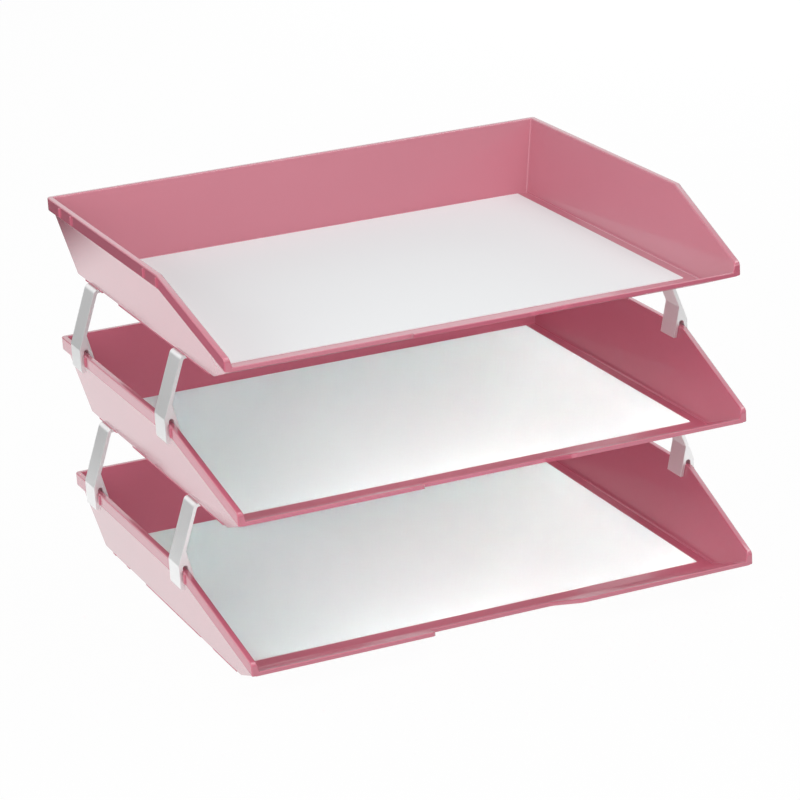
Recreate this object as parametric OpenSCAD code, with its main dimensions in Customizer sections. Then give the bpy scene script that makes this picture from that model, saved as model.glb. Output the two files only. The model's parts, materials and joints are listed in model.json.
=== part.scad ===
// Three-tier letter tray: three like moulded trays, carried one above the other
// by eight slices of an aluminium section that clip over the rims.
// Millimetres. +X right, +Y to the rear, +Z up, the open front faces -Y.

/* [Letter sheets] */
// Width of a sheet, across the tray
sheet_w = 279.4; // [200:0.1:330]
// Depth of a sheet
sheet_d = 215.9; // [150:0.1:330]
// Thickness of the few sheets together
sheet_t = 0.5; // [0.3:0.1:6]
// Gap between the sheets and the rear wall
sheet_gap = 1.2; // [0.6:0.1:6]
// Room between the sheets and the foot of each side wall
side_room = 6.9; // [2:0.1:20]
// Room between the sheets and the foot of the ramp
front_room = 8.3; // [2:0.1:30]

/* [Tray] */
// Height from the foot rails to the top of the rim
tray_h = 48; // [44:0.5:56]
// Thickness of the leaning walls
wall_t = 2.4; // [1.8:0.1:3]
// Lean of the side and rear walls from upright, in degrees
wall_lean = 13; // [9:0.5:15]
// Thickness of the floor and of the front ramp
floor_t = 2.4; // [1.8:0.1:3]

/* [Rim band] */
// Height of the band round the top of the walls
band_h = 8; // [6:0.5:10]
// How far the band stands out from the wall at its lower edge
band_out = 2.7; // [2.2:0.1:3.5]
// Radius of the band's rear corners
band_corner_r = 2.5; // [1:0.5:4]
// Width of the upright ribs that keep the risers in place along the band
seat_rib_w = 1.2; // [0.8:0.1:1.6]
// How far those ribs stand out from the band
seat_rib_out = 0.9; // [0.5:0.1:1.5]
// How far they stay below the top of the rim and above the band's lower edge
seat_rib_end = 1.2; // [1:0.1:2]

/* [Side wings] */
// Where the rim bends down, measured back from the tip
bend_y = 81; // [72:1:90]
// Height of the top of the tip
tip_z = 21.5; // [18:0.5:26]
// Height of the tip's blunt end
tip_h = 7.7; // [6:0.1:9]
// Radius of the tip's upper corner
tip_r = 3; // [1:0.5:4]

/* [Front ramp] */
// Where the floor starts to rise towards the front edge, measured back from the tips
toe_y = 32.7; // [30:0.1:38]
// Width of the finger cut-out at the front edge
finger_front_w = 90; // [70:1:140]
// Width of the finger cut-out at its rear edge
finger_rear_w = 76; // [40:1:78]
// Depth of the finger cut-out, measured level
finger_d = 25; // [14:0.5:26]
// Radius of the cut-out's four corners
finger_r = 4; // [2:0.5:5]

/* [Underside] */
// Height of the foot rails below the floor
foot_h = 1.8; // [1.4:0.1:3]
// Width of a foot rail
rail_w = 3; // [2:0.5:6]
// How far rails and pads lie inside the wall's lower edge
rail_inset = 0.8; // [0.5:0.1:3]
// Front end of the rails, measured back from the tips
rail_front = 42; // [38:1:60]
// Rear end of the rails
rail_rear = 190; // [150:1:205]
// Length of the pads that rest on the risers
pad_l = 30; // [26:1:40]
// Width of the pads
pad_w = 15; // [13:0.5:20]
// Depth of the pocket in a pad
pocket_h = 0.5; // [0.3:0.1:1]

/* [Riser] */
// Length of the slice, along the rim
riser_w = 16.5; // [14:0.5:20]
// Middle of the front risers, measured back from the rim's bend
riser_bend = 10.5; // [10.5:0.5:50]
// Middle of the rear risers, measured in from the rear rim
riser_rear_in = 35; // [30:0.5:60]
// Thickness of the outer leg
outer_leg_t = 2.1; // [1.6:0.1:3]
// Thickness of the inner leg
inner_leg_t = 2; // [1.6:0.1:3]
// How far the inner leg reaches down inside the rim
inner_leg_l = 7; // [4:0.5:10]
// Radius of the bead that hooks under the band
bead_r = 1.5; // [1.1:0.1:1.8]
// Height of the outer kink above the rim
kink_h = 3.2; // [2.9:0.1:5]
// Radius of the round end of the slot, over the rim
relief_r = 1.45; // [1:0.05:1.5]
// How far the round end's middle lies above the rim
relief_h = 1.5; // [1:0.1:1.8]
// Thickness of the leaning strip and of the flange
strip_t = 2.1; // [1.6:0.1:3]
// Lean of the strip from upright, in degrees
strip_lean = 19.5; // [17:0.5:22]
// Outer radius of the bend between strip and flange
bend_r = 3.6; // [3.2:0.1:5]
// How far the flange reaches under the tray above, from the wall's lower edge
flange_reach = 11; // [8:0.5:13]

/* [Stack] */
// Height from one tray to the next
pitch = 85.5; // [80:0.5:100]
// How far each tray stands behind the one below
setback = 3; // [0:0.5:6]

/* [Fits] */
// Gap on each side of the rim in a riser's slot
slot_gap = 0.15; // [0.1:0.05:0.4]
// Gap between the bead and the band above it
hook_gap = 0.3; // [0.2:0.1:0.6]
// Gap at each end of a riser between its seat ribs and in its pocket
end_gap = 1.65; // [0.5:0.05:2]
// Gap between the end of a riser's flange and its pocket
flange_gap = 0.5; // [0.3:0.1:1]

/* [Hidden] */
$fn = 64;
TRAY_ROSE = "#B9667A";
RISER_SILVER = "#C6C8CA";
SHEET_WHITE = "#F1F1EF";
// How far a cutting shape runs past what it cuts
over = 5;
// How deep one moulded form runs into the next
root = 0.4;

// Heights in a tray, from its foot rails
base_z = foot_h;
floor_z = base_z + floor_t;
band_z = tray_h - band_h;
tip_low_z = tip_z - tip_h;

// The leaning walls: their thickness measured level, and how far the rim reaches beyond the floor's edge
lean_k = tan(wall_lean);
wall_h = wall_t / cos(wall_lean);
rim_reach = wall_h + lean_k * (band_z - floor_z) + band_out;

// The ramp: its slope, its thickness measured upright, and where its top leaves the floor's
ramp_k = (tip_low_z - base_z) / toe_y;
ramp_v = floor_t * sqrt(1 + ramp_k * ramp_k);
ramp_y = (tip_low_z + ramp_v - floor_z) / ramp_k;

// Width over the rim band and depth from the tips of the wings to the rear rim, as the sheets need them
tray_w = sheet_w + 2 * (side_room + rim_reach);
tray_d = ramp_y + front_room + sheet_d + sheet_gap + rim_reach;
function wall_x(z) = tray_w / 2 - band_out - lean_k * (band_z - z);
function wall_y(z) = tray_d - band_out - lean_k * (band_z - z);

// The wings: slope of the rim's front run, and the band's outer face at the tip
rim_slope = (tray_h - tip_z) / bend_y;
band_bend_y = (band_z - tip_low_z) / rim_slope;
tip_x = tray_w / 2 - lean_k * (tray_h - tip_z);

// The risers' profile, in a right-hand section through the tray below
leg_in_x = tray_w / 2 + slot_gap;
leg_out_x = leg_in_x + outer_leg_t;
kink_z = tray_h + kink_h;
bead_z = band_z - hook_gap - bead_r;
inner_leg_z = tray_h - inner_leg_l;
function slot_x(z) = wall_x(z) - wall_h - slot_gap;
function inner_leg_x(z) = slot_x(z) - inner_leg_t;
flange_z = pitch + pocket_h;
flange_x = wall_x(base_z) - flange_reach;
// The strip's inner face, level with the kink, and the height at which it meets the inner leg's
strip_k = tan(strip_lean);
strip_in_x = leg_out_x - strip_t / cos(strip_lean);
crease_z = (strip_in_x + strip_k * kink_z - inner_leg_x(0)) / (strip_k + lean_k);

seat_w = riser_w + 2 * end_gap;
riser_front = bend_y + riser_bend;
riser_rear = tray_d - riser_rear_in;
riser_ys = [riser_front, riser_rear];
stack_y = -(tray_d + 2 * setback) / 2;

// Draws an X-Z outline through the depth, from y0 to y1
module along_y(y0, y1) {
    translate([0, y1, 0]) rotate([90, 0, 0]) linear_extrude(y1 - y0) children();
}

// Draws a Y-Z outline through the width, from x0 to x1
module along_x(x0, x1) {
    translate([x0, 0, 0]) rotate([90, 0, 90]) linear_extrude(x1 - x0) children();
}

module both_sides() {
    children();
    mirror([1, 0, 0]) children();
}

// Unit vector from p to q
function toward(p, q) = (q - p) / norm(q - p);
function half_angle(p, a, b) = acos(toward(p, a) * toward(p, b)) / 2;

// An arc of radius r in the corner p, which lies between the points a and b: its end on the side of a
function arc_end(p, a, b, r) = p + toward(p, a) * r / tan(half_angle(p, a, b));
// The middle of that arc
function arc_middle(p, a, b, r) =
    p + toward([0, 0], toward(p, a) + toward(p, b)) * r / sin(half_angle(p, a, b));

// Rounds the corner p of an outline
module round_corner(p, a, b, r) {
    middle = arc_middle(p, a, b, r);
    difference() {
        children();
        difference() {
            polygon([p + toward(middle, p) * root, arc_end(p, a, b, r), middle, arc_end(p, b, a, r)]);
            translate(middle) circle(r);
        }
    }
}

// What the leaning faces enclose between two heights, set in by a level distance; open at the front
module lean_body(inset, z0, z1, front) {
    intersection() {
        along_y(front, tray_d + over) polygon([
            [inset - wall_x(z0), z0], [wall_x(z0) - inset, z0],
            [wall_x(z1) - inset, z1], [inset - wall_x(z1), z1]
        ]);
        along_x(-tray_w, tray_w) polygon([
            [front, z0], [wall_y(z0) - inset, z0], [wall_y(z1) - inset, z1], [front, z1]
        ]);
    }
}

module inside_walls(inset) {
    lean_body(inset, base_z - over, tray_h + over, -2 * over);
}

// Side view of the walls, with the bend and the wing
module wall_view() {
    tip = [0, tip_z];
    bend = [bend_y, tray_h];
    low = [0, tip_low_z];
    round_corner(tip, bend, low, tip_r) polygon([
        low, tip, bend, [tray_d + over, tray_h], [tray_d + over, base_z], [toe_y, base_z]
    ]);
}

// Side view of the band, which follows the rim down to the tips
module band_view() {
    tip = [0, tip_z];
    bend = [bend_y, tray_h];
    low = [0, tip_low_z];
    round_corner(tip, bend, low, tip_r) polygon([
        low, tip, bend, [tray_d, tray_h], [tray_d, band_z], [band_bend_y, band_z]
    ]);
}

// The band seen from above: straight at the sides and rear, drawn in along the wings
module band_plan() {
    rear = [tray_w / 2, tray_d];
    side = [tray_w / 2, bend_y];
    middle = [0, tray_d];
    both_sides() round_corner(rear, side, middle, band_corner_r)
        polygon([[0, 0], [tip_x, 0], side, rear, middle]);
}

module walls() {
    intersection() {
        difference() {
            lean_body(0, base_z, tray_h, -over);
            inside_walls(wall_h);
        }
        along_x(-tray_w, tray_w) wall_view();
    }
}

module rim_band() {
    difference() {
        intersection() {
            linear_extrude(tray_h) band_plan();
            along_x(-tray_w, tray_w) band_view();
        }
        inside_walls(wall_h);
    }
}

// The floor and the ramp seen from above, with the finger cut-out
module floor_plan() {
    side = tray_w / 2;
    rear = tray_d + over;
    front_l = [-finger_front_w / 2, 0];
    front_r = [finger_front_w / 2, 0];
    inner_l = [-finger_rear_w / 2, finger_d];
    inner_r = [finger_rear_w / 2, finger_d];
    middle_l = arc_middle(inner_l, front_l, inner_r, finger_r);
    middle_r = arc_middle(inner_r, front_r, inner_l, finger_r);
    round_corner(front_l, [-side, 0], inner_l, finger_r)
        round_corner(front_r, [side, 0], inner_r, finger_r) difference() {
            polygon([
                [-side, 0], front_l,
                arc_end(inner_l, front_l, inner_r, finger_r), middle_l,
                arc_end(inner_l, inner_r, front_l, finger_r),
                arc_end(inner_r, inner_l, front_r, finger_r), middle_r,
                arc_end(inner_r, front_r, inner_l, finger_r),
                front_r, [side, 0], [side, rear], [-side, rear]
            ]);
            translate(middle_l) circle(finger_r);
            translate(middle_r) circle(finger_r);
        }
}

// The floor, level from the rear to the toe and then rising to the front edge
module tray_floor() {
    intersection() {
        inside_walls(wall_h - root);
        along_x(-tray_w, tray_w) polygon([
            [0, tip_low_z], [toe_y, base_z], [tray_d, base_z], [tray_d, floor_z], [ramp_y, floor_z],
            [0, tip_low_z + ramp_v]
        ]);
        linear_extrude(tray_h) floor_plan();
    }
}

// Feet under the floor: a long rail at each side, and pads where the risers carry the tray
module feet() {
    foot_x = wall_x(base_z) - rail_inset;
    foot_top = base_z + root;
    both_sides() {
        translate([foot_x - rail_w, rail_front, 0]) cube([rail_w, rail_rear - rail_front, foot_top]);
        for (y = riser_ys) translate([foot_x - pad_w, y - setback - pad_l / 2, 0])
            cube([pad_w, pad_l, foot_top]);
    }
}

// Pockets in the pads, open to the outside, for the flanges of the risers below
module riser_pockets() {
    pocket_x = flange_x - flange_gap;
    both_sides() for (y = riser_ys) translate([pocket_x, y - setback - seat_w / 2, -over])
        cube([wall_x(base_z) - pocket_x, seat_w, over + pocket_h]);
}

// Pairs of upright ribs on the band's outer face, between which the risers above sit
module seat_ribs() {
    rib_z = band_z + seat_rib_end;
    both_sides() for (y = riser_ys) for (rib_y = [y - seat_w / 2 - seat_rib_w, y + seat_w / 2])
        translate([tray_w / 2 - root, rib_y, rib_z])
            cube([root + seat_rib_out, seat_rib_w, band_h - 2 * seat_rib_end]);
}

module tray() {
    color(TRAY_ROSE) difference() {
        union() {
            walls();
            rim_band();
            seat_ribs();
            tray_floor();
            feet();
        }
        riser_pockets();
    }
}

// The section that the risers are sliced from: a fork over the rim, whose outer leg hooks under the band
// and whose inner leg follows the wall, then a strip that leans inwards and ends in a level flange
module riser_outline() {
    kink = [leg_out_x, kink_z];
    crease = [inner_leg_x(crease_z), crease_z];
    bend_out = [leg_out_x - strip_k * (flange_z - kink_z), flange_z];
    bend_in = [strip_in_x - strip_k * (flange_z - strip_t - kink_z), flange_z - strip_t];
    flange_top = [flange_x, flange_z];
    flange_low = [flange_x, flange_z - strip_t];
    bend_in_r = bend_r - strip_t;
    bend_middle = arc_middle(bend_in, crease, flange_low, bend_in_r);
    slot_middle = (slot_x(tray_h) + leg_in_x) / 2;
    relief_z = tray_h + relief_h;
    difference() {
        union() {
            round_corner(bend_out, kink, flange_top, bend_r) polygon([
                [leg_out_x, bead_z], kink, bend_out, flange_top, flange_low,
                arc_end(bend_in, flange_low, crease, bend_in_r), bend_middle,
                arc_end(bend_in, crease, flange_low, bend_in_r), crease,
                [inner_leg_x(inner_leg_z), inner_leg_z], [slot_x(inner_leg_z), inner_leg_z],
                [slot_x(tray_h), tray_h],
                [slot_middle - relief_r, tray_h], [slot_middle - relief_r, relief_z],
                [slot_middle + relief_r, relief_z], [slot_middle + relief_r, tray_h],
                [leg_in_x, tray_h], [leg_in_x, bead_z]
            ]);
            translate([leg_out_x - bead_r, bead_z]) circle(bead_r);
        }
        translate(bend_middle) circle(bend_in_r);
        translate([slot_middle, relief_z]) circle(relief_r);
    }
}

// One riser, in the frame of the tray that it is clipped on: side is 1 on the right, -1 on the left
module riser(side, y) {
    color(RISER_SILVER) mirror([side < 0 ? 1 : 0, 0, 0])
        along_y(y - riser_w / 2, y + riser_w / 2) riser_outline();
}

module sheet() {
    rear = wall_y(floor_z) - wall_h - sheet_gap;
    color(SHEET_WHITE) translate([-sheet_w / 2, rear - sheet_d, floor_z]) cube([sheet_w, sheet_d, sheet_t]);
}

// Puts a piece on its tier, counted from 0 at the bottom
module on_tier(tier) {
    translate([0, stack_y + tier * setback, tier * pitch]) children();
}

module bottom_tray() { on_tier(0) tray(); }
module middle_tray() { on_tier(1) tray(); }
module top_tray() { on_tier(2) tray(); }
module lower_riser_left_front() { on_tier(0) riser(-1, riser_front); }
module lower_riser_left_rear() { on_tier(0) riser(-1, riser_rear); }
module lower_riser_right_front() { on_tier(0) riser(1, riser_front); }
module lower_riser_right_rear() { on_tier(0) riser(1, riser_rear); }
module upper_riser_left_front() { on_tier(1) riser(-1, riser_front); }
module upper_riser_left_rear() { on_tier(1) riser(-1, riser_rear); }
module upper_riser_right_front() { on_tier(1) riser(1, riser_front); }
module upper_riser_right_rear() { on_tier(1) riser(1, riser_rear); }
module bottom_sheet() { on_tier(0) sheet(); }
module middle_sheet() { on_tier(1) sheet(); }
module top_sheet() { on_tier(2) sheet(); }

bottom_tray();
middle_tray();
top_tray();
lower_riser_left_front();
lower_riser_left_rear();
lower_riser_right_front();
lower_riser_right_rear();
upper_riser_left_front();
upper_riser_left_rear();
upper_riser_right_front();
upper_riser_right_rear();
bottom_sheet();
middle_sheet();
top_sheet();
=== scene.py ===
"""Looks for the three-tier letter tray: rounded mouldings, satin risers, loose paper and a small studio."""

import json
import math

import bmesh
import bpy
from bpy.props import FloatProperty, FloatVectorProperty, IntProperty, PointerProperty
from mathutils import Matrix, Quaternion, Vector


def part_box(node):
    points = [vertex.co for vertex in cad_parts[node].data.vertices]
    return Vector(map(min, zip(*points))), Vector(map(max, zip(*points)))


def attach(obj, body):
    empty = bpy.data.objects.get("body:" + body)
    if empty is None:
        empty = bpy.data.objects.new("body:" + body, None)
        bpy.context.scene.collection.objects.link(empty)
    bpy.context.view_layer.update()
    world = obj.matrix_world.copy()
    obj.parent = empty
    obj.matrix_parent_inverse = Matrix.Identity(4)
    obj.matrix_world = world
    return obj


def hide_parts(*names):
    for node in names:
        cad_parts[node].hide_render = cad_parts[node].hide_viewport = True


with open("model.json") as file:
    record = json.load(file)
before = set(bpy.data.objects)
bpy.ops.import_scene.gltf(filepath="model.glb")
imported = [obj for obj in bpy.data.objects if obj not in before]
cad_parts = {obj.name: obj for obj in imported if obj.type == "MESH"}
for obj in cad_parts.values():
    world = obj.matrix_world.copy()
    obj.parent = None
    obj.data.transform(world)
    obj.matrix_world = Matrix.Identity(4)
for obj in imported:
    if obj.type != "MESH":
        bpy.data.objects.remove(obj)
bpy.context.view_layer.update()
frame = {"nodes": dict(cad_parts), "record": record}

bl_info = {
    "name": "Three-tier letter tray",
    "version": (1, 0, 0),
    "blender": (4, 5, 0),
    "location": "View3D > Sidebar > Letter tray",
    "description": "Dresses the packed letter tray and sets up its studio",
    "category": "Object",
}

MM = 0.001

TRAY_NODES = ("bottom_tray", "middle_tray", "top_tray")
SHEET_NODES = ("bottom_sheet", "middle_sheet", "top_sheet")
RISER_NODES = tuple(sorted(n for n in frame["nodes"] if "_riser_" in n))
NODE_BODY = {n: body for body, nodes in frame["record"]["behaviour"]["bodies"].items() for n in nodes}

# Places on a tray, counted from its own foot rails and from the middle of its width
FOOT_TOP = 1.8 * MM
SEAT_RIB_OUT = 0.9 * MM
BAND_LOW = 40 * MM
RIM_TOP = 48 * MM
TOUCH = 0.05 * MM
# Faces this level and this low belong to the floor and the ramp
FLOOR_FACING = 0.85
FLOOR_TOP = 17 * MM
# The walls' inner faces lean back by this much
INSIDE_FACING = (0.15, 0.5)

# Edges that turn by more than this are rounded
SHARP = math.radians(30)
# Flatter bends between broad faces of a riser are rounded too
KINK = math.radians(12)
BROAD = 100 * MM * MM
# Edges that still turn by more than this are shaded as creases
CREASE = math.radians(40)
# So are slight bends between faces wider than the strips of a rounding
BEND = math.radians(3)
WIDE = 0.6 * MM

# Points this close are one point
MERGE = 0.001 * MM
# Faces across the rounding of a tray's edge, and across a smaller one
EDGE_STEPS = 4
SMALL_STEPS = 3
# Share of its place in the pile that a sheet's thickness fills
SHEET_FILL = 0.96


def linear(colour):
    """An sRGB hex value as linear red, green and blue."""
    channels = [int(colour[i : i + 2], 16) / 255 for i in (1, 3, 5)]
    return tuple(c / 12.92 if c <= 0.04045 else ((c + 0.055) / 1.055) ** 2.4 for c in channels)


def add_node(tree, kind, links=None, values=None, **settings):
    """Adds a node with its settings, its input values and the links into its inputs."""
    node = tree.nodes.new(kind)
    for name, value in settings.items():
        setattr(node, name, value)
    for name, value in (values or {}).items():
        node.inputs[name].default_value = value
    for name, socket in (links or {}).items():
        tree.links.new(socket, node.inputs[name])
    return node


def blank_material(name):
    """A material with no nodes, and its tree."""
    material = bpy.data.materials.new(name)
    material.use_nodes = True
    material.node_tree.nodes.clear()
    return material, material.node_tree


class TraySettings(bpy.types.PropertyGroup):
    """Sizes and colours of the three mouldings"""

    colour: FloatVectorProperty(
        name="Rose",
        description="Body colour of the plastic",
        subtype="COLOR",
        default=linear("#BC6679"),
        min=0,
        max=1,
    )
    flow_colour: FloatVectorProperty(
        name="Flow marks",
        description="Colour that the plastic drifts to along its flow",
        subtype="COLOR",
        default=linear("#B45C70"),
        min=0,
        max=1,
    )
    # Painted light and sheen: a near-white that the open top tray's insides are paled towards, standing in for the
    # light and haze they catch from above
    painted_sheen_colour: FloatVectorProperty(
        name="Painted sheen",
        description="Colour of the dust film inside the open top tray",
        subtype="COLOR",
        default=linear("#EDEBE8"),
        min=0,
        max=1,
    )
    edge_radius: FloatProperty(
        name="Edge radius",
        description="Rounding of the rim, the wall ends and the creases",
        default=0.7 * MM,
        min=0.1 * MM,
        max=1 * MM,
        unit="LENGTH",
        precision=5,
    )
    rib_radius: FloatProperty(
        name="Rib radius",
        description="Rounding of the seat ribs on the band",
        default=0.5 * MM,
        min=0.05 * MM,
        max=0.55 * MM,
        unit="LENGTH",
        precision=5,
    )


class RiserSettings(bpy.types.PropertyGroup):
    """Sizes and colours of the aluminium risers"""

    colour: FloatVectorProperty(
        name="Aluminium",
        description="Colour of the bead-blasted and anodised face",
        subtype="COLOR",
        default=linear("#F2F3F3"),
        min=0,
        max=1,
    )
    edge_radius: FloatProperty(
        name="Edge radius",
        description="Rounding left by tumbling the cut slices",
        default=0.25 * MM,
        min=0.05 * MM,
        max=0.4 * MM,
        unit="LENGTH",
        precision=5,
    )


class PaperSettings(bpy.types.PropertyGroup):
    """Sizes and colours of the letter paper"""

    top_colour: FloatVectorProperty(
        name="Top sheet",
        description="Tone of the paper in the top tray",
        subtype="COLOR",
        default=linear("#E6E8E9"),
        min=0,
        max=1,
    )
    # Painted shade and light: the lower sheets run from the shaded tone at the rear left, where the tray above and
    # the left wall shade them, to the light tone at the front right
    shade_colour: FloatVectorProperty(
        name="Shaded tone",
        description="Tone of the lower sheets at their rear left corner",
        subtype="COLOR",
        default=linear("#CFD5D6"),
        min=0,
        max=1,
    )
    light_colour: FloatVectorProperty(
        name="Light tone",
        description="Tone of the lower sheets at their front right corner",
        subtype="COLOR",
        default=linear("#FBFDFC"),
        min=0,
        max=1,
    )
    count: IntProperty(name="Sheets", description="Loose sheets in each tray", default=4, min=1, max=5)
    stray: FloatProperty(
        name="Stray",
        description="How far the sheets of a pile lie apart sideways",
        default=0.3 * MM,
        min=0,
        max=1 * MM,
        unit="LENGTH",
        precision=5,
    )


class StudioSettings(bpy.types.PropertyGroup):
    """Light levels of the studio"""

    ambient: FloatProperty(name="Ambient", description="Light from all round", default=0.3, min=0, max=1)
    key: FloatProperty(
        name="Key lamp", description="Soft lamp low at the left", default=15.0, min=0, max=60, unit="POWER"
    )
    top: FloatProperty(
        name="Top lamp",
        description="Softbox overhead, which the plastic mirrors",
        default=9.0,
        min=0,
        max=60,
        unit="POWER",
    )
    fill: FloatProperty(
        name="Fill",
        description="Lamp without shadows, for the lower trays",
        default=17.5,
        min=0,
        max=60,
        unit="POWER",
    )
    back: FloatProperty(
        name="Back lamp",
        description="Soft lamp low behind the right corner",
        default=14.0,
        min=0,
        max=60,
        unit="POWER",
    )
    paper: FloatProperty(
        name="Paper lamp",
        description="Cool lamp for the lower sheets alone, against the rose light from the walls",
        default=0.152,
        min=0,
        max=2,
        unit="POWER",
    )


def moulded_polystyrene(name, settings, haze, coat, grain, relief, painted_sheen=0.0):
    """Polystyrene, injection moulded: a smooth skin over a slightly milky body, whose colour drifts a little
    along the flow. Outsides from polished steel mirror the room at a slant; insides from honed steel have a
    softer gloss, and undersides from etched steel stay matt. Haze is the span of roughness, coat the weight
    of the polished skin, relief the strength of the marks, and the last argument the share by which the colour
    is paled towards near-white, as painted light and sheen on faces that lie open above."""
    material, tree = blank_material(name)
    place = add_node(tree, "ShaderNodeTexCoord").outputs["Object"]
    flow = add_node(
        tree, "ShaderNodeTexNoise", {"Vector": place}, {"Scale": 1 / (90 * MM), "Detail": 2.0, "Roughness": 0.4}
    )
    tone = add_node(tree, "ShaderNodeMix", {0: flow.outputs["Fac"]}, data_type="RGBA")
    for socket, colour in ((6, settings.colour), (7, settings.flow_colour)):
        # Painted light and sheen: the colour is paled towards near-white by the given share
        sheen_paled = Vector(colour).lerp(Vector(settings.painted_sheen_colour), painted_sheen)
        tone.inputs[socket].default_value = (*sheen_paled, 1)
    marks = add_node(
        tree, "ShaderNodeTexNoise", {"Vector": place}, {"Scale": 1 / grain, "Detail": 1.0, "Roughness": 0.5}
    )
    gloss = add_node(
        tree, "ShaderNodeMapRange", {"Value": marks.outputs["Fac"]}, {"To Min": haze[0], "To Max": haze[1]}
    )
    ripple = add_node(
        tree, "ShaderNodeBump", {"Height": marks.outputs["Fac"]}, {"Strength": relief, "Distance": 0.07 * grain}
    )
    surface = add_node(
        tree,
        "ShaderNodeBsdfPrincipled",
        {"Base Color": tone.outputs[2], "Roughness": gloss.outputs["Result"], "Normal": ripple.outputs["Normal"]},
        {
            "IOR": 1.59,
            "Subsurface Weight": 0.12,
            "Subsurface Radius": (1.0, 0.5, 0.5),
            "Subsurface Scale": 2 * MM,
            "Coat Weight": coat,
            "Coat Roughness": 0.08,
            "Coat IOR": 1.5,
        },
    )
    add_node(tree, "ShaderNodeOutputMaterial", {"Surface": surface.outputs["BSDF"]})
    return material


def satin_aluminium(settings):
    """Extruded aluminium, blasted and clear anodised: an even grey sheen, with die lines that only just change
    its gloss."""
    material, tree = blank_material("satin_aluminium")
    place = add_node(tree, "ShaderNodeTexCoord").outputs["Object"]
    # Die lines run along the extrusion, 0.6 mm apart: real ones are finer, and would not show
    along = add_node(
        tree, "ShaderNodeMapping", {"Vector": place}, {"Scale": (1 / (0.6 * MM), 1 / (25 * MM), 1 / (0.6 * MM))}
    )
    lines = add_node(
        tree, "ShaderNodeTexNoise", {"Vector": along.outputs["Vector"]}, {"Scale": 1.0, "Detail": 2.0}
    )
    # Blasting marks of 0.5 mm: real ones are finer, and would not show
    grit = add_node(tree, "ShaderNodeTexNoise", {"Vector": place}, {"Scale": 1 / (0.5 * MM), "Detail": 1.0})
    haze = add_node(tree, "ShaderNodeMapRange", {"Value": lines.outputs["Fac"]}, {"To Min": 0.3, "To Max": 0.34})
    skin = add_node(
        tree, "ShaderNodeBump", {"Height": grit.outputs["Fac"]}, {"Strength": 0.002, "Distance": 0.05 * MM}
    )
    # Less than all metal, a level that was matched: the blasted oxide skin scatters some light
    surface = add_node(
        tree,
        "ShaderNodeBsdfPrincipled",
        {"Roughness": haze.outputs["Result"], "Normal": skin.outputs["Normal"]},
        {"Base Color": (*settings.colour, 1), "Metallic": 0.75},
    )
    add_node(tree, "ShaderNodeOutputMaterial", {"Surface": surface.outputs["BSDF"]})
    return material


def office_paper(name, colour_from, colour_to, low, high):
    """Uncoated office paper: matt, with a faint cloudy formation of its fibres. Its colour runs across the
    sheet, from the rear left corner to the front right one: painted shade at the rear left, where the tray
    above and the left wall shade the sheet, and painted light towards the open front right."""
    material, tree = blank_material(name)
    place = add_node(tree, "ShaderNodeTexCoord").outputs["Object"]
    axes = add_node(tree, "ShaderNodeSeparateXYZ", {"Vector": place})
    # Painted shade and light: the colour goes from the first tone at the rear left to the second at the front right
    across = add_node(
        tree,
        "ShaderNodeMapRange",
        {"Value": axes.outputs["X"]},
        {"From Min": low.x, "From Max": high.x, "To Max": 1.3},
    )
    forward = add_node(
        tree,
        "ShaderNodeMapRange",
        {"Value": axes.outputs["Y"]},
        {"From Min": high.y, "From Max": low.y, "To Max": 0.8},
    )
    run = add_node(
        tree, "ShaderNodeMath", {0: across.outputs["Result"], 1: forward.outputs["Result"]}, operation="ADD"
    )
    share = add_node(
        tree,
        "ShaderNodeMapRange",
        {"Value": run.outputs["Value"]},
        {"From Min": 0.55, "From Max": 1.58},
    )
    tone = add_node(tree, "ShaderNodeMix", {0: share.outputs["Result"]}, data_type="RGBA")
    tone.inputs[6].default_value = (*colour_from, 1)
    tone.inputs[7].default_value = (*colour_to, 1)
    fibres = add_node(tree, "ShaderNodeTexNoise", {"Vector": place}, {"Scale": 1 / (1.5 * MM), "Detail": 3.0})
    cloud = add_node(
        tree, "ShaderNodeBump", {"Height": fibres.outputs["Fac"]}, {"Strength": 0.05, "Distance": 0.05 * MM}
    )
    surface = add_node(
        tree,
        "ShaderNodeBsdfPrincipled",
        {"Base Color": tone.outputs[2], "Normal": cloud.outputs["Normal"]},
        {"Roughness": 0.85, "Specular IOR Level": 0.3},
    )
    add_node(tree, "ShaderNodeOutputMaterial", {"Surface": surface.outputs["BSDF"]})
    return material


def merged_copy(node):
    """The node's solid as a bmesh with whole faces instead of loose triangles."""
    mesh = bmesh.new()
    mesh.from_mesh(frame["nodes"][node].data)
    bmesh.ops.remove_doubles(mesh, verts=mesh.verts, dist=MERGE)
    bmesh.ops.dissolve_limit(
        mesh, angle_limit=math.radians(0.5), use_dissolve_boundaries=False, verts=mesh.verts, edges=mesh.edges
    )
    return mesh


def sharp_edges(mesh):
    """The edges at which two faces meet at a marked angle."""
    return [e for e in mesh.edges if len(e.link_faces) == 2 and e.calc_face_angle(0) > SHARP]


def round_off(mesh, edges, radius, segments):
    """Rounds edges with a circular bevel."""
    bmesh.ops.bevel(
        mesh,
        geom=edges,
        offset=radius,
        offset_type="OFFSET",
        segments=segments,
        profile=0.5,
        affect="EDGES",
        clamp_overlap=True,
        material=-1,
        loop_slide=True,
    )


def is_wide(face):
    """Whether a face is broader than the strips of a rounding."""
    return face.calc_area() > WIDE * max(e.calc_length() for e in face.edges)


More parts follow.
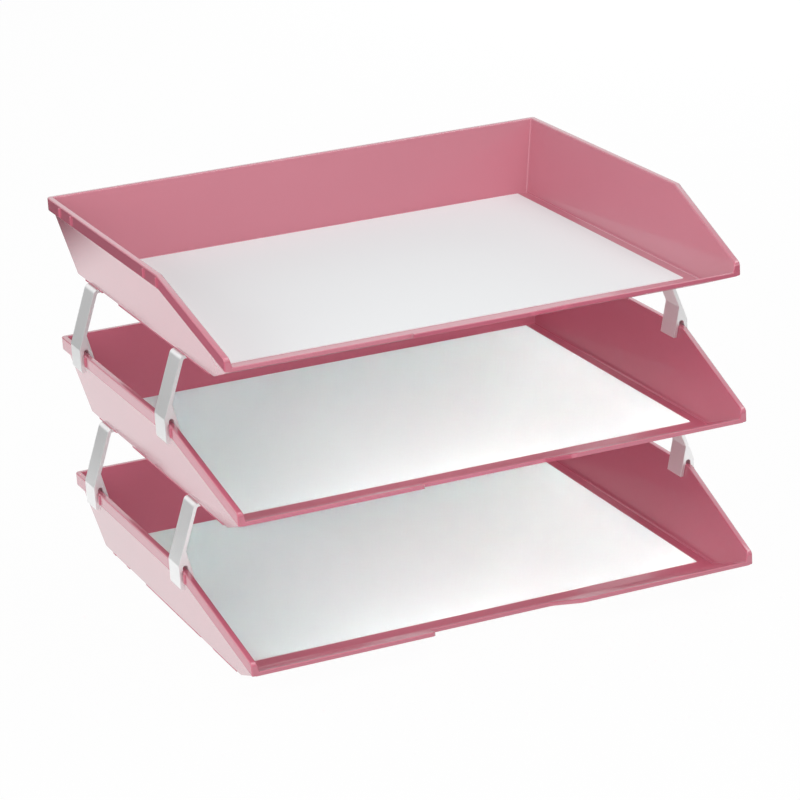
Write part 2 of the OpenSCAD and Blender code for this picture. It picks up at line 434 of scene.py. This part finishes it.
def add_piece(name, mesh, node, *materials):
    """Makes a bmesh an object that rides on the node's body, and stands for the node."""
    bmesh.ops.dissolve_degenerate(mesh, dist=MERGE, edges=mesh.edges)
    mesh.normal_update()
    for face in mesh.faces:
        face.smooth = True
    for edge in mesh.edges:
        turn = edge.calc_face_angle(0)
        edge.smooth = turn < BEND or (turn < CREASE and not all(is_wide(f) for f in edge.link_faces))
    data = bpy.data.meshes.new(name)
    mesh.to_mesh(data)
    mesh.free()
    for material in materials:
        data.materials.append(material)
    piece = bpy.data.objects.new(name, data)
    bpy.context.scene.collection.objects.link(piece)
    even = piece.modifiers.new("even_shading", "WEIGHTED_NORMAL")
    even.weight = 100
    even.keep_sharp = True
    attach(piece, NODE_BODY[node])
    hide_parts(node)
    return piece


class LETTERTRAY_OT_trays(bpy.types.Operator):
    """Rounds the edges of the three mouldings and gives them their plastic"""

    bl_idname = "letter_tray.mould_trays"
    bl_label = "Mould the trays"

    def execute(self, context):
        settings = context.scene.letter_tray_mouldings
        # Polishing marks 6 mm apart, honing marks of 3 mm and etched grain of 0.8 mm: real ones are finer,
        # and would not show
        polished = moulded_polystyrene("polished_polystyrene", settings, (0.13, 0.16), 1.0, 6 * MM, 0.0015)
        etched = moulded_polystyrene("etched_polystyrene", settings, (0.5, 0.62), 0.2, 0.8 * MM, 0.02)
        honed = moulded_polystyrene("honed_polystyrene", settings, (0.34, 0.4), 0.45, 3 * MM, 0.004)
        # The top tray's insides get a paler copy of the honed plastic: painted light and sheen from above
        sheen_paled = moulded_polystyrene("painted_sheen_polystyrene", settings, (0.3, 0.36), 0.8, 3 * MM, 0.004, 0.07)
        like = self.moulding(settings)
        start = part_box(TRAY_NODES[0])[0]
        for node in TRAY_NODES:
            mesh = like.copy()
            bmesh.ops.translate(mesh, vec=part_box(node)[0] - start, verts=mesh.verts)
            inside = sheen_paled if node == "top_tray" else honed
            add_piece(node + "_moulding", mesh, node, polished, etched, inside)
        like.free()
        return {"FINISHED"}

    def moulding(self, settings):
        """The bottom tray with its edges rounded and its faces sorted by finish; the others are like it."""
        node = TRAY_NODES[0]
        low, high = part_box(node)
        side = high.x - SEAT_RIB_OUT
        mesh = merged_copy(node)

        def on_rib(v):
            outside = abs(v.co.x) > side + TOUCH
            on_face = abs(abs(v.co.x) - side) < TOUCH
            height = v.co.z - low.z
            return outside or (on_face and BAND_LOW + MM < height < RIM_TOP - MM)

        def on_foot(v):
            return v.co.z - low.z < FOOT_TOP - TOUCH

        def on_hem(e):
            down = [f for f in e.link_faces if f.normal.z < -FLOOR_FACING]
            return any(f.calc_center_median().z - low.z < FLOOR_TOP for f in down)

        # The hem round the underside stays sharp: beside the rails a rounding folds over at the corners
        body = [
            e
            for e in sharp_edges(mesh)
            if not on_hem(e) and not any(on_rib(v) or on_foot(v) for v in e.verts)
        ]
        round_off(mesh, body, settings.edge_radius, EDGE_STEPS)
        ribs = [e for e in sharp_edges(mesh) if all(abs(v.co.x) > side + TOUCH for v in e.verts)]
        round_off(mesh, ribs, settings.rib_radius, SMALL_STEPS)
        for face in mesh.faces:
            height = face.calc_center_median().z - low.z
            if face.normal.z < -FLOOR_FACING or height < FOOT_TOP - TOUCH:
                face.material_index = 1
            elif face.normal.z > FLOOR_FACING and height < FLOOR_TOP:
                face.material_index = 2
            elif INSIDE_FACING[0] < face.normal.z < INSIDE_FACING[1]:
                face.material_index = 2
        return mesh


class LETTERTRAY_OT_risers(bpy.types.Operator):
    """Breaks the edges of the eight sliced risers and gives them their satin finish"""

    bl_idname = "letter_tray.slice_risers"
    bl_label = "Slice the risers"

    def execute(self, context):
        settings = context.scene.letter_tray_risers
        material = satin_aluminium(settings)
        for node in RISER_NODES:
            mesh = merged_copy(node)
            kinks = [
                e
                for e in mesh.edges
                if len(e.link_faces) == 2
                and KINK < e.calc_face_angle(0) <= SHARP
                and all(f.calc_area() > BROAD for f in e.link_faces)
            ]
            round_off(mesh, sharp_edges(mesh) + kinks, settings.edge_radius, SMALL_STEPS)
            add_piece(node + "_slice", mesh, node, material)
        return {"FINISHED"}


class LETTERTRAY_OT_sheets(bpy.types.Operator):
    """Lays a few loose sheets of letter paper in each tray"""

    bl_idname = "letter_tray.lay_sheets"
    bl_label = "Lay the sheets"

    def execute(self, context):
        settings = context.scene.letter_tray_paper
        for node in SHEET_NODES:
            low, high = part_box(node)
            # The lower sheets get painted shade at the rear left and painted light at the front right; the top
            # sheet is even
            if node == "top_sheet":
                painted_shade_ends = (settings.top_colour, settings.top_colour)
            else:
                painted_shade_ends = (settings.shade_colour, settings.light_colour)
            material = office_paper(node + "_paper", *painted_shade_ends, low, high)
            mesh = bmesh.new()
            step = (high.z - low.z) / settings.count
            for i in range(settings.count):
                stray = settings.stray * ((i * 2) % 3 - 1) * 0.5 if i < settings.count - 1 else 0
                middle = Vector((stray, stray * 0.6, low.z + (i + 0.5) * step))
                middle.x += (low.x + high.x) / 2
                middle.y += (low.y + high.y) / 2
                size = (high.x - low.x, high.y - low.y, step * SHEET_FILL)
                made = bmesh.ops.create_cube(mesh, size=1.0)
                bmesh.ops.scale(mesh, vec=size, verts=made["verts"])
                bmesh.ops.translate(mesh, vec=middle, verts=made["verts"])
            piece = add_piece(node + "_pile", mesh, node, material)
            for face in piece.data.polygons:
                face.use_smooth = False
        return {"FINISHED"}


# Tint of the lamp that takes the rose cast off the lower sheets
COOL = (0.68, 1.0, 0.95)
# It shines straight down in a beam this narrow, which a sheet leaves as it is pulled out
BEAM = math.radians(3)

# The camera of the photograph, fitted to the tray's corners
AIM = Vector((-0.9, -2.1, 102.9)) * MM
DISTANCE = 1931 * MM
AZIMUTH = math.radians(22.715)
ELEVATION = math.radians(18.868)
ROLL = math.radians(-3.417)
LENS = 149.36
SENSOR = 36.0


# Beyond the table the room is darker, which shows only as a mirror image: where the brightness changes,
# along which axis, from and to which place in metres, and from and to which level
TABLE_EDGES = (
    ("rear", "Y", 0.53, 0.67, 1.0, 0.05),
    ("left", "X", -0.385, -0.36, 0.05, 1.0),
    ("wall", "Y", 0.8, 1.1, 0.0, 0.2),
    ("front", "Y", -0.6, -0.48, 0.1, 1.0),
)
FLOOR_REACH = 6.0
FLOOR_GREY = 0.7
# Share of the floor that glows white to the camera and in mirror images; the rest shows the shadow
FLOOR_GLOW = 0.97


class LETTERTRAY_OT_studio(bpy.types.Operator):
    """Builds the floor, the soft lamps, the white room and the camera"""

    bl_idname = "letter_tray.set_studio"
    bl_label = "Set up the studio"

    def execute(self, context):
        settings = context.scene.letter_tray_studio
        self.floor(context)
        self.room(context, settings)
        self.lamps(context, settings)
        self.camera(context)
        context.scene.view_settings.view_transform = "Standard"
        return {"FINISHED"}

    def floor(self, context):
        mesh = bmesh.new()
        bmesh.ops.create_grid(mesh, x_segments=1, y_segments=1, size=FLOOR_REACH)
        data = bpy.data.meshes.new("studio_floor")
        mesh.to_mesh(data)
        mesh.free()
        floor = bpy.data.objects.new("studio_floor", data)
        context.scene.collection.objects.link(floor)

        material, tree = blank_material("white_table")
        place = add_node(tree, "ShaderNodeTexCoord").outputs["Object"]
        axes = add_node(tree, "ShaderNodeSeparateXYZ", {"Vector": place})
        edges = {
            name: add_node(
                tree,
                "ShaderNodeMapRange",
                {"Value": axes.outputs[axis]},
                {"From Min": start, "From Max": end, "To Min": before, "To Max": after},
                interpolation_type="SMOOTHSTEP",
            ).outputs["Result"]
            for name, axis, start, end, before, after in TABLE_EDGES
        }
        table = edges["rear"]
        for name, operation in (("left", "MINIMUM"), ("wall", "MAXIMUM"), ("front", "MINIMUM")):
            table = add_node(tree, "ShaderNodeMath", {0: table, 1: edges[name]}, operation=operation).outputs[0]
        path = add_node(tree, "ShaderNodeLightPath")
        indirect = add_node(
            tree,
            "ShaderNodeMath",
            {0: path.outputs["Is Glossy Ray"], 1: path.outputs["Is Transmission Ray"]},
            operation="MAXIMUM",
        )
        mirrored = add_node(
            tree,
            "ShaderNodeMath",
            {0: indirect.outputs["Value"], 1: table},
            operation="MULTIPLY",
        )
        strength = add_node(
            tree,
            "ShaderNodeMath",
            {0: path.outputs["Is Camera Ray"], 1: mirrored.outputs["Value"]},
            operation="MAXIMUM",
        )
        seen = add_node(
            tree,
            "ShaderNodeMath",
            {0: path.outputs["Is Camera Ray"], 1: indirect.outputs["Value"]},
            operation="MAXIMUM",
        )
        share = add_node(tree, "ShaderNodeMath", {0: seen.outputs["Value"]}, {1: FLOOR_GLOW}, operation="MULTIPLY")
        lit = add_node(tree, "ShaderNodeBsdfDiffuse", values={"Color": (FLOOR_GREY, FLOOR_GREY, FLOOR_GREY, 1)})
        glow = add_node(
            tree, "ShaderNodeEmission", {"Strength": strength.outputs["Value"]}, {"Color": (1, 1, 1, 1)}
        )
        mixed = add_node(
            tree, "ShaderNodeMixShader", {0: share.outputs["Value"], 1: lit.outputs["BSDF"], 2: glow.outputs[0]}
        )
        add_node(tree, "ShaderNodeOutputMaterial", {"Surface": mixed.outputs["Shader"]})
        data.materials.append(material)

    def room(self, context, settings):
        world = bpy.data.worlds.new("white_room")
        world.use_nodes = True
        tree = world.node_tree
        tree.nodes.clear()
        way = add_node(tree, "ShaderNodeTexCoord").outputs["Generated"]
        axes = add_node(tree, "ShaderNodeSeparateXYZ", {"Vector": way})
        # Low down the room is darker, most of all at the front, which shows only as a mirror image
        front = add_node(
            tree,
            "ShaderNodeMapRange",
            {"Value": axes.outputs["Y"]},
            {"From Min": -0.6, "From Max": -0.2, "To Min": 0.8, "To Max": 0.45},
        )
        low = add_node(
            tree,
            "ShaderNodeMapRange",
            {"Value": axes.outputs["Z"]},
            {"From Min": 0.08, "From Max": 0.28, "To Min": 1.0, "To Max": 0.0},
        )
        dark = add_node(
            tree, "ShaderNodeMath", {0: front.outputs["Result"], 1: low.outputs["Result"]}, operation="MULTIPLY"
        )
        bright = add_node(tree, "ShaderNodeMath", {1: dark.outputs["Value"]}, {0: 1.0}, operation="SUBTRACT")
        path = add_node(tree, "ShaderNodeLightPath")
        indirect = add_node(
            tree,
            "ShaderNodeMath",
            {0: path.outputs["Is Glossy Ray"], 1: path.outputs["Is Transmission Ray"]},
            operation="MAXIMUM",
        )
        mirrored = add_node(
            tree,
            "ShaderNodeMath",
            {0: indirect.outputs["Value"], 1: bright.outputs["Value"]},
            operation="MULTIPLY",
        )
        seen = add_node(
            tree,
            "ShaderNodeMath",
            {0: path.outputs["Is Camera Ray"], 1: mirrored.outputs["Value"]},
            operation="MAXIMUM",
        )
        lighting = add_node(
            tree, "ShaderNodeMath", {0: path.outputs["Is Diffuse Ray"]}, {1: settings.ambient}, operation="MULTIPLY"
        )
        level = add_node(
            tree,
            "ShaderNodeMath",
            {0: seen.outputs["Value"], 1: lighting.outputs["Value"]},
            operation="MAXIMUM",
        )
        sky = add_node(
            tree, "ShaderNodeBackground", {"Strength": level.outputs["Value"]}, {"Color": (1, 1, 1, 1)}
        )
        add_node(tree, "ShaderNodeOutputWorld", {"Surface": sky.outputs["Background"]})
        context.scene.world = world

    def lamps(self, context, settings):
        lamps = (
            ("key_lamp", (-1.6, -0.45, 0.65), (1.2, 1.2), settings.key, True),
            ("top_lamp", (0.62, -0.35, 1.5), (2.4, 0.5), settings.top, True),
            ("fill_lamp", (-0.45, -1.25, 1.1), (1.5, 1.5), settings.fill, False),
            ("back_lamp", (1.2, 1.3, 0.45), (1.2, 0.8), settings.back, True),
            ("paper_lamp", (0.0, 0.03, 1.7), (0.36, 0.3), settings.paper, False),
        )
        lower_paper = bpy.data.collections.new("lower_paper")
        for node in ("bottom_sheet", "middle_sheet"):
            lower_paper.objects.link(bpy.data.objects[node + "_pile"])
        for name, place, size, power, shadow in lamps:
            data = bpy.data.lights.new(name, "AREA")
            data.energy = power
            data.shape = "RECTANGLE"
            data.size, data.size_y = size
            data.use_shadow = shadow
            lamp = bpy.data.objects.new(name, data)
            lamp.location = place
            lamp.rotation_mode = "QUATERNION"
            lamp.rotation_quaternion = (AIM - Vector(place)).to_track_quat("-Z", "Y")
            lamp.visible_glossy = name == "top_lamp"
            if name == "paper_lamp":
                data.color = COOL
                data.spread = BEAM
                lamp.rotation_quaternion = (1, 0, 0, 0)
                lamp.light_linking.receiver_collection = lower_paper
            context.scene.collection.objects.link(lamp)

    def camera(self, context):
        back = Vector(
            (
                -math.sin(AZIMUTH) * math.cos(ELEVATION),
                -math.cos(AZIMUTH) * math.cos(ELEVATION),
                math.sin(ELEVATION),
            )
        )
        data = bpy.data.cameras.new("photo_camera")
        data.lens = LENS
        data.sensor_width = SENSOR
        camera = bpy.data.objects.new("photo_camera", data)
        camera.location = AIM + back * DISTANCE
        camera.rotation_mode = "QUATERNION"
        camera.rotation_quaternion = (-back).to_track_quat("-Z", "Y") @ Quaternion((0, 0, 1), ROLL)
        context.scene.collection.objects.link(camera)
        context.scene.camera = camera


class LETTERTRAY_PT_sidebar(bpy.types.Panel):
    """Lists the steps and their settings"""

    bl_label = "Letter tray"
    bl_idname = "LETTERTRAY_PT_sidebar"
    bl_space_type = "VIEW_3D"
    bl_region_type = "UI"
    bl_category = "Letter tray"

    def draw(self, context):
        for operator, group in STEPS:
            box = self.layout.box()
            box.operator(operator.bl_idname)
            settings = getattr(context.scene, group)
            for name in settings.bl_rna.properties.keys():
                if name not in ("rna_type", "name"):
                    box.prop(settings, name)


STEPS = (
    (LETTERTRAY_OT_trays, "letter_tray_mouldings"),
    (LETTERTRAY_OT_risers, "letter_tray_risers"),
    (LETTERTRAY_OT_sheets, "letter_tray_paper"),
    (LETTERTRAY_OT_studio, "letter_tray_studio"),
)
GROUPS = {
    "letter_tray_mouldings": TraySettings,
    "letter_tray_risers": RiserSettings,
    "letter_tray_paper": PaperSettings,
    "letter_tray_studio": StudioSettings,
}
CLASSES = (*GROUPS.values(), *(operator for operator, group in STEPS), LETTERTRAY_PT_sidebar)


def register():
    for cls in CLASSES:
        bpy.utils.register_class(cls)
    for name, group in GROUPS.items():
        setattr(bpy.types.Scene, name, PointerProperty(type=group))


def unregister():
    for name in GROUPS:
        delattr(bpy.types.Scene, name)
    for cls in reversed(CLASSES):
        bpy.utils.unregister_class(cls)


def main():
    register()
    bpy.ops.letter_tray.mould_trays()
    bpy.ops.letter_tray.slice_risers()
    bpy.ops.letter_tray.lay_sheets()
    bpy.ops.letter_tray.set_studio()


if __name__ == "__main__":
    main()
